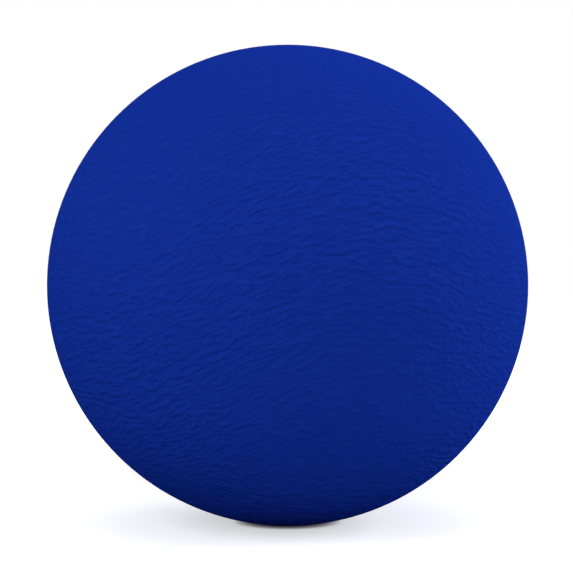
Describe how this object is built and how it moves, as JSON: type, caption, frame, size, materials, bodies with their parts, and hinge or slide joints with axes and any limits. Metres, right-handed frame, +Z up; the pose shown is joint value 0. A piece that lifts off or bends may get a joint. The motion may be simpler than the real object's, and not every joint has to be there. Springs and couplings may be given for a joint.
{
  "type": "peanut massage ball",
  "caption": "Hollow leather-grained massage roller with round lobes joined by a narrow waist, filled with air through a stoppered valve in the waist.",
  "frame": {"origin": "on the table, below the middle of the waist, as the ball lies on both lobes", "axes": "+Y along the ball from the front lobe to the rear lobe, +Z up out of the valve, +X to the right seen from the front"},
  "size_m": [0.065, 0.13, 0.0647],
  "materials": {
    "blue_vinyl": "matte",
    "seat_vinyl": "satin",
    "plug_vinyl": "satin"
  },
  "bodies": {
    "ball": {"peanut_skin": "blue_vinyl", "valve_seat": "seat_vinyl"},
    "stopper": {"valve_plug": "plug_vinyl"}
  },
  "joints": [
    {"name": "plug_pull", "type": "slide", "parent": "ball", "child": "stopper", "axis": [0, 0, 1], "range_m": [0, 0.02]}
  ]
}
